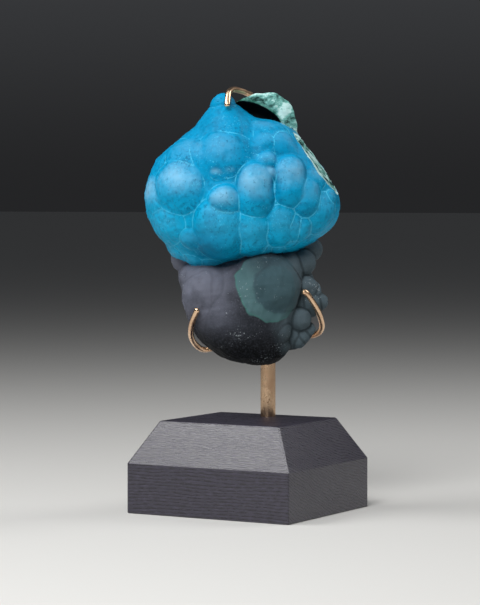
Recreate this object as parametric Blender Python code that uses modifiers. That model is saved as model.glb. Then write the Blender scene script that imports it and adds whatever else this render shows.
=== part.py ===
# Botryoidal malachite with chrysocolla, held by three brass wires and a post on a black wood base.
# Metres, +Z up. The origin is the middle of the base's underside, and the base's long side runs along X.
# The specimen and its wires are built in their own directions, x across, y back and z up, and
# the whole holder is then turned on the base.
import math

import bmesh
import bpy
import numpy as np
from mathutils import Matrix, Vector

MM = 0.001
FIT_GAP = 0.3 * MM

# Wooden base, a sawn block with a steep bevel on all four sides.
BASE_LENGTH = 76.2 * MM
BASE_DEPTH = 69.9 * MM
BASE_HEIGHT = 38.1 * MM
BASE_STRAIGHT = 20.7 * MM
BASE_INSET = 9.9 * MM
BASE_EDGE = 0.6 * MM

# Brass post, pressed into a blind hole behind the middle of the base.
POST_DIAMETER = 6.35 * MM
POST_SET_IN = 14 * MM
POST_TOP = 100 * MM
POST_ACROSS, POST_BACK = 8.2 * MM, 14.3 * MM
HOLDER_TURN = math.radians(29.9)

# Brass wires, as points (across, front, up) in millimetres from the post to the tip.
WIRE_DIAMETER = 2.4 * MM
WIRE_TIP = 0.7
WIRE_STEPS = 3
TOP_WIRE = (
    (8.2, -14.3, 100.6), (8.2, -14.3, 108), (8.2, -14.2, 128), (6.8, -14, 148), (5.4, -13, 162),
    (4, -11.3, 169), (1.5, -8.3, 172.8), (-1.5, -3.5, 174.3), (-4.5, 1.5, 175), (-6.5, 6, 175),
    (-8.2, 10.5, 173.8), (-8.7, 13.2, 171), (-9, 15.2, 167.5))
LEFT_WIRE = (
    (3.9, -14.3, 82), (0, -13.8, 78), (-5, -13, 72.8), (-10.5, -12.4, 69), (-15.5, -11.8, 67),
    (-18.8, -8.8, 66.6), (-21, -4.5, 67.9), (-22.9, 0, 70.2), (-23.9, 5.2, 73), (-23.9, 10.2, 76.2),
    (-23.2, 14.8, 79.4), (-22, 18, 82.5), (-20.9, 20, 85.2))
RIGHT_WIRE = (
    (12.5, -14.3, 78), (16, -13.7, 75.8), (21, -12.3, 73), (26, -8.8, 72.5), (29.3, -3.8, 74),
    (30.5, 1, 77), (29.8, 5, 80.5), (28.4, 8.8, 84), (26, 12, 88), (23.6, 14.2, 91.2), (21.6, 14.8, 92))

# Blue chrysocolla mass: an outline (across, up) swollen to the front and the back, its shallow lumps
# (across, up, seen radius, height over the body, half of the length that it is drawn out upward), and
# round knobs (across, front, up, radius), all in millimetres.
BLUE_CENTRE, BLUE_FRONT, BLUE_BACK = (-2.5, 133.5), 25, 16
BLUE_OUTLINE = (
    (-10, 173), (-14, 171), (-19, 163), (-27, 155), (-37, 148), (-41.5, 139.5), (-43, 129.5),
    (-41, 121), (-36, 113.5), (-29, 106), (-21.5, 101.5), (-12, 102.5), (-2, 105), (8, 106),
    (18, 107.5), (26.5, 112.5), (33.5, 116.5), (38, 123), (37.5, 133), (33, 143.5), (25, 153),
    (17, 159), (8, 163), (2, 162.5), (-3, 167))
BLUE_LUMPS = (
    (-29, 135, 11.8, 3.4, 0), (-41, 130, 10, 0.6, 0), (-34, 118, 9.6, 1.4, 0), (-26.5, 148.5, 8.4, 1, 0),
    (-12, 148, 10.2, 3, 0), (-19.5, 148, 7, 1.4, 0), (-13, 140.5, 3, 1, 0), (-8, 141.5, 2.6, 0.9, 0),
    (2.5, 133.5, 8, 4.3, 3.6), (-10, 129, 7.2, 4.4, 0), (-12, 117, 10.8, 3.9, 2.5), (-24, 113.5, 5, 2, 0),
    (17, 137.5, 7.2, 3.6, 3.6), (7.5, 145.5, 4.4, 2.3, 0), (7.5, 139.5, 4.4, 2, 0), (7, 153.5, 5, 1.2, 0),
    (14, 153, 6.4, 1.5, 0), (5.5, 159, 6.4, 0.8, 0), (24, 130.5, 6.2, 2.7, 1.8), (27.5, 138.5, 5.4, 1.2, 0),
    (30, 124, 8.6, 2.3, 0), (33.5, 130, 3.8, 1.4, 0), (1, 115, 8, 3.1, 2.6), (13, 118.5, 6.8, 2.6, 2.4),
    (17.5, 117.5, 5.8, 2.1, 1), (22, 117.5, 4.4, 2.1, 1.6), (6, 110, 4.8, 1.7, 0), (12, 110, 4.2, 1.5, 0),
    (17, 112, 4.2, 1.5, 0), (-29.5, 107, 4.6, 1.2, 0), (-23, 104, 5.2, 1.3, 0), (-16, 103, 5, 1.2, 0))
BLUE_KNOBS = ((-18, -1, 110.5, 9.6), (-25, -2, 113, 9.6), (-10.5, 5.5, 168.2, 5.2))

# Dark malachite mass below it, made the same way.
DARK_CENTRE, DARK_FRONT, DARK_BACK = (-2.5, 85), 21, 12
DARK_OUTLINE = (
    (-30, 101), (-28, 95), (-26.5, 86), (-25.5, 79.5), (-20, 71.5), (-12, 65.5), (-1, 61.5), (7, 61),
    (14, 63), (17, 70), (18, 81.5), (21, 94), (23.5, 105), (18, 109), (6.5, 108), (-1.5, 105),
    (-13, 103), (-25.5, 103))
DARK_LUMPS = (
    (-1, 84, 14.5, 2.4, 0), (-22.5, 88.5, 8, 2.8, 1.5), (10, 94.5, 13, 3.6, 0), (-5.5, 70.5, 7, 1.5, 0),
    (14.5, 75.5, 4.8, 2, 0), (14, 67.5, 4.6, 1.8, 0))
DARK_KNOBS = (
    (22.6, 2, 103.6, 5.3), (25.5, -3, 109, 5.2), (24, 3.5, 93.5, 4.2), (26, 1, 91.5, 4.2),
    (29.3, 1, 87.2, 3.7), (25.5, 2, 86, 5), (21.3, 8, 80.3, 4.4), (20.1, 5, 71.3, 3.4),
    (22.6, 5, 73.4, 3.4), (25, 5, 75.6, 3), (17, 3, 73, 6), (20, 0, 85, 7), (21, -2, 96, 6),
    (-26.5, -4, 105, 6), (-23.5, -2, 97.5, 6), (-23.8, 3, 98.4, 2.2), (-2, -4, 104, 10))

# Broken malachite rim around a hollow at the top, and the broken faces down the right edge and behind.
RIM_CENTRE, RIM_FRONT, RIM_BACK = (7, 158), 2.5, 7
RIM_OUTLINE = (
    (-5.5, 171), (-1.5, 171.5), (5, 173.3), (10, 174.5), (14, 172.5), (17.5, 169), (19.5, 163),
    (20, 157), (24, 150), (21.5, 144), (6.5, 144), (-2, 150), (-6, 160), (-7, 167.5))
HOLLOW_CENTRE, HOLLOW_SIZE, HOLLOW_TILT = (3.2, 1, 164.2), (11, 5.5, 4.6), math.radians(24)
EDGE_BREAK_TOP, EDGE_BREAK_FOOT, EDGE_BREAK_FRONT, EDGE_BREAK_LEAN = (17.5, 158.5), (35, 134), 6.5, 0.15
BACK_FACE = -9.5
BACK_RELIEF = 0.7
BACK_WAVE_LENGTHS = (23, 31)

BODY_SQUARENESS, RIM_SQUARENESS = 2.2, 3.0
LUMP_STEPS = (-1, -0.5, 0, 0.5, 1)
CORNER_ROUNDING = (-8, -4, 0, 4, 8)
VOXEL = 1.3 * MM
KEPT_TRIANGLES = 0.2


def clear_scene():
    for thing in list(bpy.data.objects):
        bpy.data.objects.remove(thing, do_unlink=True)


def new_collection(name):
    collection = bpy.data.collections.new(name)
    bpy.context.scene.collection.children.link(collection)
    return collection


def material(name, colour, roughness, metallic=0.0):
    made = bpy.data.materials.new(name)
    made.use_nodes = True
    shader = made.node_tree.nodes["Principled BSDF"]
    shader.inputs["Base Color"].default_value = (*colour, 1)
    shader.inputs["Roughness"].default_value = roughness
    shader.inputs["Metallic"].default_value = metallic
    made.diffuse_color = (*colour, 1)
    return made


def add_object(name, bm, collection, holder=None, finish=None):
    """Turn a bmesh into an object, riding on the turned holder where one is given."""
    mesh = bpy.data.meshes.new(name)
    bm.to_mesh(mesh)
    bm.free()
    made = bpy.data.objects.new(name, mesh)
    collection.objects.link(made)
    made.parent = holder
    if finish:
        mesh.materials.append(finish)
    return made


def as_cutter(thing):
    thing.hide_render = True
    thing.display_type = "WIRE"
    return thing


def add_boolean(thing, other, operation):
    cut = thing.modifiers.new(operation.lower() + " " + other.name, "BOOLEAN")
    cut.operation = operation
    cut.object = other
    cut.solver = "EXACT"


def add_remesh(thing):
    remesh = thing.modifiers.new("one skin", "REMESH")
    remesh.mode = "VOXEL"
    remesh.voxel_size = VOXEL


def reach(outline, centre, angle):
    """Distance from the centre to the outline at an angle, with the outline's corners rounded."""
    points = np.array(outline, float) - centre
    angles = np.arctan2(points[:, 1], points[:, 0])
    order = np.argsort(angles)
    distances = np.hypot(points[:, 0], points[:, 1])[order]
    turns = [angle + math.radians(step) for step in CORNER_ROUNDING]
    return sum(np.interp(turn, angles[order], distances, period=2 * math.pi) for turn in turns) / len(turns)


def body_point(body, direction):
    """Where a swollen outline's surface lies in a direction (across, front, up) of a unit sphere.

    Share of the reach and share of the thickness, each to the power of squareness, add up to one.
    """
    centre, outline, front, back, squareness = body
    across, forward, up = direction
    flat = math.hypot(across, up)
    share = flat ** (2 / squareness) * reach(outline, centre, math.atan2(up, across))
    depth = abs(forward) ** (2 / squareness) * (front if forward > 0 else -back)
    flat = max(flat, 1e-9)
    return Vector((centre[0] + share * across / flat, depth, centre[1] + share * up / flat))


def front_point(body, across, up):
    """The point on a body's front at (across, up), found along its own outline's direction."""
    centre, outline, front, back, squareness = body
    across_off, up_off = across - centre[0], up - centre[1]
    share = math.hypot(across_off, up_off) / reach(outline, centre, math.atan2(up_off, across_off))
    share = min(share, 0.995)
    return Vector((across, front * (1 - share ** squareness) ** (1 / squareness), up))


def height_over(body, point):
    """Millimetres from a body's surface out to a point close to it, from the same sum of powers."""
    centre, outline, front, back, squareness = body
    across_off, up_off = point.x - centre[0], point.z - centre[1]
    far = reach(outline, centre, math.atan2(up_off, across_off))
    thick = front if point.y > 0 else back
    flat, deep = math.hypot(across_off, up_off) / far, abs(point.y) / thick
    level = (flat ** squareness + deep ** squareness) ** (1 / squareness)
    slope = math.hypot((flat / level) ** (squareness - 1) / far, (deep / level) ** (squareness - 1) / thick)
    return (level - 1) / slope


def lump_balls(body, across, up, seen_radius, height, half):
    """The balls (across, front, up, radius) of one shallow lump on a body's front.

    The lump stands over the body by its height, meets it at its seen radius, and is a row of balls
    along the front where it is drawn out.
    """
    step = 0.05
    point = front_point(body, across, up)
    slope_across = front_point(body, across + step, up) - front_point(body, across - step, up)
    slope_up = front_point(body, across, up + step) - front_point(body, across, up - step)
    outward = slope_up.cross(slope_across).normalized()
    outward = outward if outward.y > 0 else -outward
    sideways = outward.cross(Vector((0, 0, 1))).normalized()
    upward = sideways.cross(outward)
    turns = [math.radians(angle) for angle in range(0, 360, 45)]
    ring = [point + seen_radius * (math.cos(turn) * sideways + math.sin(turn) * upward) for turn in turns]
    rise = height + sum(height_over(body, place) for place in ring) / len(ring)
    radius = (seen_radius ** 2 + rise ** 2) / (2 * rise)
    middle = point + outward * (height - radius)
    shares = LUMP_STEPS if half else (0,)
    return [(*(middle + upward * half * share), radius) for share in shares]


def add_body(bm, body):
    """Add a swollen outline, from a sphere whose poles lie to the front and the back."""
    lay_down = Matrix.Rotation(math.radians(90), 4, "X")
    made = bmesh.ops.create_uvsphere(bm, u_segments=72, v_segments=36, radius=1, matrix=lay_down)
    for vertex in made["verts"]:
        direction = vertex.co.normalized()
        across, front, up = body_point(body, (direction.x, -direction.y, direction.z))
        vertex.co = Vector((across, -front, up)) * MM


def add_ball(bm, across, front, up, radius):
    place = Matrix.Translation(Vector((across, -front, up)) * MM)
    bmesh.ops.create_icosphere(bm, subdivisions=3, radius=radius * MM, matrix=place)


def make_mass(name, body, lumps, knobs, collection, holder):
    """One botryoidal mass: the body, the shallow lumps on its front and the round knobs, in one skin."""
    bm = bmesh.new()
    add_body(bm, body)
    for lump in lumps:
        for ball in lump_balls(body, *lump):
            add_ball(bm, *ball)
    for knob in knobs:
        add_ball(bm, *knob)
    mass = add_object(name, bm, collection, holder)
    add_remesh(mass)
    return mass


def make_rim(collection, holder):
    bm = bmesh.new()
    add_body(bm, (RIM_CENTRE, RIM_OUTLINE, RIM_FRONT, RIM_BACK, RIM_SQUARENESS))
    rim = as_cutter(add_object("rim", bm, collection, holder))
    across, front, up = HOLLOW_CENTRE
    place = Matrix.Translation(Vector((across, -front, up)) * MM) @ Matrix.Rotation(HOLLOW_TILT, 4, "Y")
    wide, deep, high = HOLLOW_SIZE
    size = Matrix.Diagonal((wide * MM, deep * MM, high * MM, 1))
    bm = bmesh.new()
    bmesh.ops.create_icosphere(bm, subdivisions=3, radius=1, matrix=place @ size)
    hollow = as_cutter(add_object("hollow", bm, collection, holder))
    add_boolean(rim, hollow, "DIFFERENCE")
    return rim


def make_edge_break(collection, holder):
    """A block whose left face is the broken plane down the right edge of the blue mass."""
    top, foot = Vector(EDGE_BREAK_TOP), Vector(EDGE_BREAK_FOOT)
    run = (foot - top).normalized()
    outward = Vector((-run.y, -EDGE_BREAK_LEAN, run.x)).normalized()
    along = Vector((run.x, 0, run.y))
    third = outward.cross(along)
    half = 60 * MM
    axes = Matrix((outward, along, third)).transposed().to_4x4()
    face = Vector((top.x, -EDGE_BREAK_FRONT, top.y)) * MM
    bm = bmesh.new()
    bmesh.ops.create_cube(bm, size=2 * half, matrix=Matrix.Translation(face + outward * half) @ axes)
    return as_cutter(add_object("edge break", bm, collection, holder))


def make_back_break(collection, holder):
    """A thick slab behind the specimen whose front face waves gently, for the broken back."""
    half, cuts = 70 * MM, 24
    bm = bmesh.new()
    middle = Vector((0, -BACK_FACE * MM + half, 115 * MM))
    bmesh.ops.create_cube(bm, size=2 * half, matrix=Matrix.Translation(middle))
    near = [face for face in bm.faces if face.calc_center_median().y < -BACK_FACE * MM + 0.1 * MM]
    edges = list({edge for face in near for edge in face.edges})
    bmesh.ops.subdivide_edges(bm, edges=edges, cuts=cuts, use_grid_fill=True)
    across_wave, up_wave = (2 * math.pi / (length * MM) for length in BACK_WAVE_LENGTHS)
    for vertex in bm.verts:
        if vertex.co.y < -BACK_FACE * MM + 0.1 * MM:
            x, y, z = vertex.co
            vertex.co.y = y + BACK_RELIEF * MM * math.sin(across_wave * x + 1) * math.sin(up_wave * z)
    return as_cutter(add_object("back break", bm, collection, holder))


def make_specimen(collection, cutters, holder):
    """The whole natural piece: blue mass, dark mass and broken rim in one solid."""
    blue = (BLUE_CENTRE, BLUE_OUTLINE, BLUE_FRONT, BLUE_BACK, BODY_SQUARENESS)
    dark = (DARK_CENTRE, DARK_OUTLINE, DARK_FRONT, DARK_BACK, BODY_SQUARENESS)
    specimen = make_mass("specimen", blue, BLUE_LUMPS, BLUE_KNOBS, collection, holder)
    below = as_cutter(make_mass("dark mass", dark, DARK_LUMPS, DARK_KNOBS, cutters, holder))
    add_boolean(specimen, make_edge_break(cutters, holder), "DIFFERENCE")
    add_boolean(specimen, make_rim(cutters, holder), "UNION")
    add_boolean(specimen, below, "UNION")
    add_boolean(specimen, make_back_break(cutters, holder), "DIFFERENCE")
    add_remesh(specimen)
    thin = specimen.modifiers.new("fewer faces", "DECIMATE")
    thin.ratio = KEPT_TRIANGLES
    specimen.data.materials.append(material("chrysocolla", (0.02, 0.33, 0.55), 0.5))
    return specimen


def smooth_path(points):
    """Points along the curve through the given points, each span bent by its two neighbours."""
    ends = [points[0] * 2 - points[1], *points, points[-1] * 2 - points[-2]]
    path = []
    for before, start, end, after in zip(ends, ends[1:], ends[2:], ends[3:]):
        for step in range(WIRE_STEPS):
            t = step / WIRE_STEPS
            path.append(0.5 * (2 * start + (end - before) * t
                               + (2 * before - 5 * start + 4 * end - after) * t ** 2
                               + (3 * start - before - 3 * end + after) * t ** 3))
    return [*path, points[-1]]


def make_wire(name, points, collection, holder, finish):
    """One bent brass wire with its tip filed a little smaller, as a closed mesh."""
    path = smooth_path([Vector((across, -front, up)) * MM for across, front, up in points])
    curve = bpy.data.curves.new(name, "CURVE")
    curve.dimensions = "3D"
    curve.bevel_depth = WIRE_DIAMETER / 2
    curve.bevel_resolution = 2
    curve.use_fill_caps = True
    spline = curve.splines.new("POLY")
    spline.points.add(len(path) - 1)
    for place, point in zip(path, spline.points):
        point.co = (*place, 1)
    spline.points[-1].radius = WIRE_TIP
    drawn = bpy.data.objects.new(name + " path", curve)
    bpy.context.scene.collection.objects.link(drawn)
    seen = drawn.evaluated_get(bpy.context.evaluated_depsgraph_get())
    mesh = bpy.data.meshes.new_from_object(seen)
    bpy.data.objects.remove(drawn, do_unlink=True)
    bm = bmesh.new()
    bm.from_mesh(mesh)
    bmesh.ops.remove_doubles(bm, verts=bm.verts, dist=0.01 * MM)
    bmesh.ops.recalc_face_normals(bm, faces=bm.faces)
    wire = add_object(name, bm, collection, holder, finish)
    wire.data.shade_smooth()
    wire.data.set_sharp_from_angle(angle=math.radians(50))
    return wire


def make_base(collection, cutters, holder):
    """The block: a box whose upper part slopes in on four sides, with a blind hole for the post."""
    bm = bmesh.new()
    straight = Matrix.Translation((0, 0, BASE_STRAIGHT / 2)) @ Matrix.Diagonal(
        (BASE_LENGTH, BASE_DEPTH, BASE_STRAIGHT, 1))
    bmesh.ops.create_cube(bm, size=1, matrix=straight)
    top = [face for face in bm.faces if face.normal.z > 0.5]
    raised = bmesh.ops.extrude_discrete_faces(bm, faces=top)["faces"]
    for vertex in raised[0].verts:
        vertex.co.x -= math.copysign(BASE_INSET, vertex.co.x)
        vertex.co.y -= math.copysign(BASE_INSET, vertex.co.y)
        vertex.co.z = BASE_HEIGHT
    base = add_object("base", bm, collection, None, material("black stained wood", (0.012, 0.011, 0.011), 0.35))
    edges = base.modifiers.new("eased edges", "BEVEL")
    edges.width = BASE_EDGE
    edges.segments = 2
    bm = bmesh.new()
    depth = POST_SET_IN + FIT_GAP
    bmesh.ops.create_cone(
        bm, cap_ends=True, segments=32, radius1=POST_DIAMETER / 2 + FIT_GAP, radius2=POST_DIAMETER / 2 + FIT_GAP,
        depth=2 * depth, matrix=Matrix.Translation((POST_ACROSS, POST_BACK, BASE_HEIGHT)))
    hole = as_cutter(add_object("post hole", bm, cutters, holder))
    add_boolean(base, hole, "DIFFERENCE")
    return base


def make_post(collection, holder, finish):
    foot = BASE_HEIGHT - POST_SET_IN
    bm = bmesh.new()
    middle = Matrix.Translation((POST_ACROSS, POST_BACK, (foot + POST_TOP) / 2))
    bmesh.ops.create_cone(bm, cap_ends=True, segments=32, radius1=POST_DIAMETER / 2,
                          radius2=POST_DIAMETER / 2, depth=POST_TOP - foot, matrix=middle)
    post = add_object("post", bm, collection, holder, finish)
    ends = post.modifiers.new("turned ends", "BEVEL")
    ends.width = 0.5 * MM
    ends.segments = 1
    ends.angle_limit = math.radians(60)
    post.data.shade_smooth()
    post.data.set_sharp_from_angle(angle=math.radians(30))
    return post


clear_scene()
parts = new_collection("malachite with chrysocolla on stand")
cutters = new_collection("cutters")
holder = bpy.data.objects.new("holder", None)
parts.objects.link(holder)
holder.rotation_euler.z = HOLDER_TURN
brass = material("brass", (0.72, 0.48, 0.27), 0.3, 1.0)
make_base(parts, cutters, holder)
make_post(parts, holder, brass)
make_specimen(parts, cutters, holder)
make_wire("top_claw", TOP_WIRE, parts, holder, brass)
make_wire("left_claw", LEFT_WIRE, parts, holder, brass)
make_wire("right_claw", RIGHT_WIRE, parts, holder, brass)
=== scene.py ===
import math

import bpy
import numpy as np
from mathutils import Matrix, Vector


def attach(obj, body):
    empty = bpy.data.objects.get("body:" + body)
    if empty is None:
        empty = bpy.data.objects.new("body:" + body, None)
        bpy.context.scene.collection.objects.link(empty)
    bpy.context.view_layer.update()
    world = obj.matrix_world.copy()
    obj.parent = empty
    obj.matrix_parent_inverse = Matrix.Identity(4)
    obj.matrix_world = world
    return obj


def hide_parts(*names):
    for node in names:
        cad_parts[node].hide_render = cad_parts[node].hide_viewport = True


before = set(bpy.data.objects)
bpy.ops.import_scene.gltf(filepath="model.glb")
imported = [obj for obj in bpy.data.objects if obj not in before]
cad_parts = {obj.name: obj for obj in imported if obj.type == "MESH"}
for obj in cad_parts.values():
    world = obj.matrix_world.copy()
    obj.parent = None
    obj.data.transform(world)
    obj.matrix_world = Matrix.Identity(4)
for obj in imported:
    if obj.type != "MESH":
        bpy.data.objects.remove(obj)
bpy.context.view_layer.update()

MM = 0.001

# Base. One block of close-grained wood about 3 inches long, sawn with a steep bevel on all four sides,
# stained black and rubbed to a satin finish. The grain runs along X, so the two ends show ring arcs.
RING_SPACING = 1.2 * MM
RING_CENTRE = (0, 77 * MM, 230 * MM)
WOOD_BLACK, WOOD_WORN = (20, 17, 26), (88, 83, 104)


def paint(red, green, blue):
    """A colour given as the eye's 0 to 255 values, as the shader's linear values."""
    share = np.array((red, green, blue)) / 255
    linear = np.where(share <= 0.04045, share / 12.92, ((share + 0.055) / 1.055) ** 2.4)
    return (*(float(value) for value in linear), 1.0)


def add(tree, kind, inputs=None, **settings):
    """Add a shader node, set its settings, and set or link its inputs."""
    made = tree.nodes.new("ShaderNode" + kind)
    for name, value in settings.items():
        setattr(made, name, value)
    for socket, value in (inputs or {}).items():
        if isinstance(value, bpy.types.NodeSocket):
            tree.links.new(value, made.inputs[socket])
        else:
            made.inputs[socket].default_value = value
    return made


def maths(tree, operation, *values):
    """The result of one Math node."""
    return add(tree, "Math", dict(enumerate(values)), operation=operation).outputs[0]


def mixed(tree, share, first, second):
    """The first colour where share is 0, the second where it is 1."""
    return add(tree, "Mix", {0: share, 6: first, 7: second}, data_type="RGBA").outputs[2]


def ramp(tree, value, low, high):
    """0 below low, 1 above high, and a smooth rise between them."""
    inputs = {"Value": value, "From Min": low, "From Max": high}
    return add(tree, "MapRange", inputs, interpolation_type="SMOOTHSTEP").outputs["Result"]


def noise(tree, where, per_mm, detail=3.0, roughness=0.55):
    """Fractal noise between about 0 and 1, its coarsest features this many to a millimetre."""
    inputs = {"Vector": where, "Scale": per_mm / MM, "Detail": detail, "Roughness": roughness}
    return add(tree, "TexNoise", inputs).outputs["Fac"]


def stretched(tree, where, scale):
    """Coordinates multiplied along X, Y and Z, so that a pattern is drawn out along the small one."""
    return add(tree, "Mapping", {"Vector": where, "Scale": scale}).outputs["Vector"]


def new_material(name):
    """A material, its node tree, its Principled shader and the object's own coordinates."""
    made = bpy.data.materials.new(name)
    made.use_nodes = True
    tree = made.node_tree
    return made, tree, tree.nodes["Principled BSDF"], add(tree, "TexCoord").outputs["Object"]


def speckle_group():
    """Sparse small spots: one where fine noise peaks inside patches of coarse noise, zero elsewhere."""
    tree = bpy.data.node_groups.new("speckle", "ShaderNodeTree")
    wanted = (("Vector", "NodeSocketVector"), ("Spots per mm", "NodeSocketFloat"),
              ("Patches per mm", "NodeSocketFloat"), ("Threshold", "NodeSocketFloat"))
    for name, kind in wanted:
        tree.interface.new_socket(name, in_out="INPUT", socket_type=kind)
    tree.interface.new_socket("Mask", in_out="OUTPUT", socket_type="NodeSocketFloat")
    given = tree.nodes.new("NodeGroupInput").outputs
    fine = add(tree, "TexNoise", {"Vector": given["Vector"], "Detail": 2.0, "Roughness": 0.6,
                                  "Scale": maths(tree, "DIVIDE", given["Spots per mm"], MM)})
    coarse = add(tree, "TexNoise", {"Vector": given["Vector"], "Detail": 2.0,
                                    "Scale": maths(tree, "DIVIDE", given["Patches per mm"], MM)})
    both = maths(tree, "MULTIPLY_ADD", coarse.outputs["Fac"], 0.5, fine.outputs["Fac"])
    high = maths(tree, "ADD", given["Threshold"], 0.05)
    mask = add(tree, "MapRange", {"Value": both, "From Min": given["Threshold"], "From Max": high})
    result = tree.nodes.new("NodeGroupOutput")
    tree.links.new(mask.outputs["Result"], result.inputs["Mask"])
    return tree


def speckle(tree, where, spots, patches, threshold):
    """The speckle group placed in a material, with its own sizes and threshold."""
    made = tree.nodes.new("ShaderNodeGroup")
    made.node_tree = SPECKLE
    tree.links.new(where, made.inputs["Vector"])
    made.inputs["Spots per mm"].default_value = spots
    made.inputs["Patches per mm"].default_value = patches
    made.inputs["Threshold"].default_value = threshold
    return made.outputs["Mask"]


SPECKLE = speckle_group()


def black_stained_wood():
    """Rings round a far centre line along X, fine streaks along X, and open pores, under black stain."""
    made, tree, shader, where = new_material("black stained wood")
    wobble = noise(tree, stretched(tree, where, (0.25, 1, 1)), 0.06)
    centred = add(tree, "VectorMath", {0: where, 1: RING_CENTRE}, operation="SUBTRACT").outputs[0]
    across = add(tree, "SeparateXYZ", {0: centred}).outputs
    squared = maths(tree, "MULTIPLY", across["Z"], across["Z"])
    squared = maths(tree, "MULTIPLY_ADD", across["Y"], across["Y"], squared)
    distance = maths(tree, "MULTIPLY_ADD", wobble, 5 * MM, maths(tree, "SQRT", squared))
    ring = maths(tree, "FRACT", maths(tree, "DIVIDE", distance, RING_SPACING))
    late = maths(tree, "POWER", ring, 2.5)
    streak = noise(tree, stretched(tree, where, (0.1, 1, 1)), 3.2, 5.0, 0.65)
    pores = ramp(tree, streak, 0.42, 0.66)
    worn = maths(tree, "MULTIPLY_ADD", late, -0.3, maths(tree, "MULTIPLY_ADD", pores, 0.32, 0.2))
    dust = speckle(tree, where, 2.2, 0.12, 0.93)
    pale = maths(tree, "MULTIPLY_ADD", dust, 0.4, worn)
    pale = add(tree, "Clamp", {"Value": pale}).outputs[0]
    tree.links.new(mixed(tree, pale, paint(*WOOD_BLACK), paint(*WOOD_WORN)), shader.inputs["Base Color"])
    rough = maths(tree, "MULTIPLY_ADD", pale, 0.2, 0.25)
    tree.links.new(rough, shader.inputs["Roughness"])
    shader.inputs["Specular IOR Level"].default_value = 0.85
    relief = maths(tree, "MULTIPLY_ADD", pores, -0.6, maths(tree, "MULTIPLY", late, -0.5))
    bump = add(tree, "Bump", {"Height": relief, "Strength": 0.35, "Distance": 0.08 * MM})
    tree.links.new(bump.outputs["Normal"], shader.inputs["Normal"])
    return made


def dress(name, material):
    """Give a carried-over CAD node its finish."""
    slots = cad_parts[name].material_slots
    for slot in slots:
        slot.material = material


dress("base", black_stained_wood())

# Post. A quarter inch drawn brass rod with turned ends, pressed into the base behind its middle, with
# faint draw lines along it and a thin uneven tarnish.
BRASS_BRIGHT, BRASS_TARNISHED = (240, 204, 168), (196, 148, 112)


def drawn_brass(name, lines_along):
    """Warm brass, duller where the tarnish noise is high, with fine lines drawn out along Z or plain."""
    made, tree, shader, where = new_material(name)
    tarnish = ramp(tree, noise(tree, where, 0.09, 4.0), 0.42, 0.85)
    lines = noise(tree, stretched(tree, where, lines_along), 5.0, 2.0)
    spots = speckle(tree, where, 1.6, 0.2, 0.9)
    dull = maths(tree, "MAXIMUM", maths(tree, "MULTIPLY", tarnish, 0.7), spots)
    colour = mixed(tree, dull, paint(*BRASS_BRIGHT), paint(*BRASS_TARNISHED))
    tree.links.new(colour, shader.inputs["Base Color"])
    shader.inputs["Metallic"].default_value = 1.0
    rough = maths(tree, "MULTIPLY_ADD", dull, 0.16, maths(tree, "MULTIPLY_ADD", lines, 0.1, 0.2))
    tree.links.new(rough, shader.inputs["Roughness"])
    bump = add(tree, "Bump", {"Height": lines, "Strength": 0.15, "Distance": 0.03 * MM})
    tree.links.new(bump.outputs["Normal"], shader.inputs["Normal"])
    return made


dress("post", drawn_brass("drawn brass rod", (1, 1, 0.02)))

# Three claws. Brass wires about 3/32 inch thick, bent cold round the specimen, brazed to the post at one
# end and filed round at the other. Their routes are points (across, front, up) in millimetres in the
# holder's own directions, which are turned on the base as the specimen is.
HOLDER_TURN = math.radians(29.9)
WIRE_RADIUS = 1.2
WIRE_SIDES = 28
WIRE_ROUTES = {
    "top_claw": (
        (8.2, -14.3, 99.4), (8.2, -14.3, 108), (8.2, -14.2, 128), (6.8, -14, 148), (5.4, -13, 162),
        (4, -11.3, 169), (1.5, -8.3, 172.8), (-1.5, -3.5, 174.3), (-4.5, 1.5, 175), (-6.5, 6, 175),
        (-8.2, 10.5, 173.8), (-8.7, 13.2, 171), (-9, 15.2, 167.5)),
    "left_claw": (
        (5.4, -14.4, 83.5), (0, -13.8, 78), (-5, -13, 72.8), (-10.5, -12.4, 69), (-15.5, -11.8, 67),
        (-18.8, -8.8, 66.6), (-21, -4.5, 67.9), (-22.9, 0, 70.2), (-23.9, 5.2, 73), (-23.9, 10.2, 76.2),
        (-23.2, 14.8, 79.4), (-22, 18, 82.5), (-20.9, 20, 85.2)),
    "right_claw": (
        (11, -14.3, 79), (16, -13.7, 75.8), (21, -12.3, 73), (26, -8.8, 72.5), (29.3, -3.8, 74),
        (30.5, 1, 77), (29.8, 5, 80.5), (28.4, 8.8, 84), (26, 12, 88), (23.6, 14.2, 91.2), (21.6, 14.8, 92))}
ROUTE_STEPS, TIP_RINGS, FOOT_RINGS = 10, 7, 7
FILLET_REACH, FILLET_RISE, FILLET_END = 1.0, 0.9, 2.4


def to_object(points):
    """Holder directions in millimetres to the object's frame in metres: a turn about Z."""
    across, front, up = np.moveaxis(np.asarray(points, float), -1, 0)
    cosine, sine = math.cos(HOLDER_TURN), math.sin(HOLDER_TURN)
    return np.stack((across * cosine + front * sine, across * sine - front * cosine, up), -1) * MM


def smooth_route(points, per_span):
    """Catmull-Rom: each span's cubic has the slopes that its neighbours on both sides give it."""
    points = np.asarray(points, float)
    ends = np.vstack((2 * points[0] - points[1], points, 2 * points[-1] - points[-2]))
    t = np.linspace(0, 1, per_span, endpoint=False)[None, :, None]
    before, start, end, after = (ends[i:len(ends) - 3 + i, None] for i in range(4))
    path = 0.5 * (2 * start + (end - before) * t + (2 * before - 5 * start + 4 * end - after) * t ** 2
                  + (3 * start - before - 3 * end + after) * t ** 3)
    return np.vstack((path.reshape(-1, 3), points[-1:]))


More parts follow.
